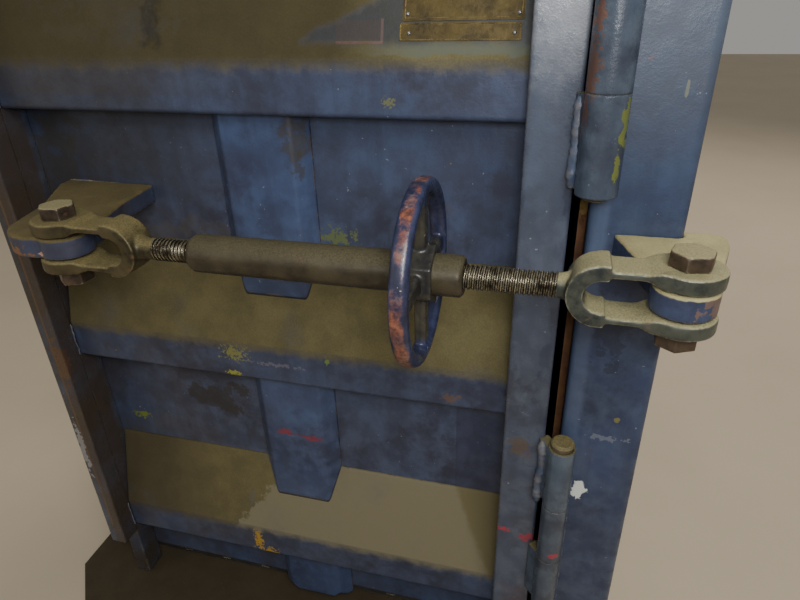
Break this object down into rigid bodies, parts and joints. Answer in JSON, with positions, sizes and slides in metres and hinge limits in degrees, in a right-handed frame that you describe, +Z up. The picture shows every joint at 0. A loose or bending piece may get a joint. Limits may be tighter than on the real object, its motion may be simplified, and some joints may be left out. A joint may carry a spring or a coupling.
{
  "type": "recycling baler",
  "caption": "Upright downstroke baler with a ribbed bale door, a knee latch drawn by a turnbuckle with hand wheel, a lifting feed gate and a hydraulic press platen.",
  "frame": {"origin": "on the floor under the middle of the base deck", "axes": "+Z up; the bale door's front looks along -Y; +X is to the right as seen from the front, where the latch is"},
  "size_m": [1.6535, 1.245, 4.15],
  "materials": {
    "body_paint": "worn blue paint, dusty and chipped, rust at the edges",
    "bare_steel": "bare steel, brown with dirt",
    "thread_steel": "worn steel, bright on the thread's crests, olive dust on top",
    "rusty_steel": "bare bar with rust",
    "wheel_paint": "blue paint worn through to red primer, glossy from hands",
    "rod_chrome": "polished",
    "machined_steel": "machined",
    "motor_paint": "grey-blue enamel",
    "box_paint": "dark grey powder coat",
    "black_plastic": "matte",
    "green_plastic": "satin",
    "red_plastic": "satin",
    "pipe_steel": "zinc plated"
  },
  "bodies": {
    "frame": {"base_frame": "body_paint", "chamber_floor": "bare_steel", "side_wall_left": "body_paint", "side_wall_right": "body_paint", "back_wall": "body_paint", "front_post_left": "body_paint", "front_post_right": "body_paint", "jamb_bar": "rusty_steel", "feed_sill": "body_paint", "front_header": "body_paint", "top_frame": "body_paint", "gate_guides": "body_paint", "keeper_bars": "bare_steel", "body_hinge_knuckles": "body_paint", "cylinder_barrel": "body_paint", "cylinder_gland": "machined_steel", "oil_tank": "motor_paint", "pump_motor": "motor_paint", "valve_block": "machined_steel", "filler_cap": "black_plastic", "pipe_cap_end": "pipe_steel", "pipe_gland_end": "pipe_steel", "control_box": "box_paint"},
    "door": {"door_panel": "body_paint", "door_stile_left": "body_paint", "door_stile_right": "body_paint", "door_top_rail": "body_paint", "door_rib_1": "body_paint", "door_rib_2": "body_paint", "door_rib_3": "body_paint", "door_strap_1": "body_paint", "door_strap_2": "body_paint", "door_strap_3": "body_paint", "door_strap_4": "body_paint", "door_lug": "body_paint", "door_hinge_straps": "body_paint", "door_hinge_pins": "bare_steel", "knee_knuckles_door": "body_paint", "knee_pins": "bare_steel"},
    "latch": {"latch_plate": "body_paint", "latch_lug": "body_paint", "latch_claws": "body_paint", "knee_knuckles_plate": "body_paint"},
    "left_link": {"left_clevis": "thread_steel", "left_bolt": "bare_steel"},
    "sleeve": {"turnbuckle_sleeve": "bare_steel", "hand_wheel": "wheel_paint"},
    "right_link": {"right_clevis": "thread_steel", "right_bolt": "bare_steel"},
    "gate": {"gate_frame": "body_paint", "gate_mesh": "body_paint"},
    "press": {"platen": "bare_steel", "cylinder_rod": "rod_chrome", "ram_pin": "machined_steel"},
    "box_door": {"control_box_door": "box_paint"},
    "up_push": {"up_button": "green_plastic"},
    "down_push": {"down_button": "black_plastic"},
    "stop_push": {"emergency_stop": "red_plastic"},
    "disconnect": {"disconnect_handle": "red_plastic"}
  },
  "joints": [
    {"name": "door_swing", "type": "hinge", "parent": "frame", "child": "door", "pos_m": [-0.708, -0.22, 1], "axis": [0, 0, -1], "range_deg": [0, 110]},
    {"name": "latch_swing", "type": "hinge", "parent": "door", "child": "latch", "pos_m": [0.5865, -0.445, 1.2], "axis": [0, 0, 1], "range_deg": [-10, 7]},
    {"name": "link_swing", "type": "hinge", "parent": "door", "child": "left_link", "pos_m": [-0.2435, -0.57, 1.282], "axis": [0, 0, 1], "range_deg": [-1.25, 0.9]},
    {"name": "wheel_turn", "type": "hinge", "parent": "left_link", "child": "sleeve", "pos_m": [0.358, -0.57, 1.282], "axis": [1, 0, 0], "range_deg": [-629, 440]},
    {"name": "rod_slide", "type": "slide", "parent": "left_link", "child": "right_link", "axis": [1, 0, 0], "range_m": [-0.0225, 0.0158]},
    {"name": "gate_lift", "type": "slide", "parent": "frame", "child": "gate", "axis": [0, 0, 1], "range_m": [0, 0.5]},
    {"name": "platen_press", "type": "slide", "parent": "frame", "child": "press", "axis": [0, 0, -1], "range_m": [0, 1.05]},
    {"name": "box_door_swing", "type": "hinge", "parent": "frame", "child": "box_door", "pos_m": [-0.826, 0.191, 1.46], "axis": [0, 0, -1], "range_deg": [0, 110]},
    {"name": "up_button_push", "type": "slide", "parent": "box_door", "child": "up_push", "axis": [1, 0, 0], "range_m": [0, 0.004], "stiffness_N_per_m": 600},
    {"name": "down_button_push", "type": "slide", "parent": "box_door", "child": "down_push", "axis": [1, 0, 0], "range_m": [0, 0.004], "stiffness_N_per_m": 600},
    {"name": "stop_button_push", "type": "slide", "parent": "box_door", "child": "stop_push", "axis": [1, 0, 0], "range_m": [0, 0.004], "stiffness_N_per_m": 900},
    {"name": "disconnect_turn", "type": "hinge", "parent": "box_door", "child": "disconnect", "pos_m": [-0.839, 0.034, 1.54], "axis": [-1, 0, 0], "range_deg": [0, 90]}
  ],
  "couplings": [
    {"joint": "latch_swing", "follows": "wheel_turn", "ratio": 0.015891},
    {"joint": "link_swing", "follows": "wheel_turn", "ratio": 0.0019149},
    {"joint": "rod_slide", "follows": "wheel_turn", "m_per_rad": 0.0020213}
  ]
}
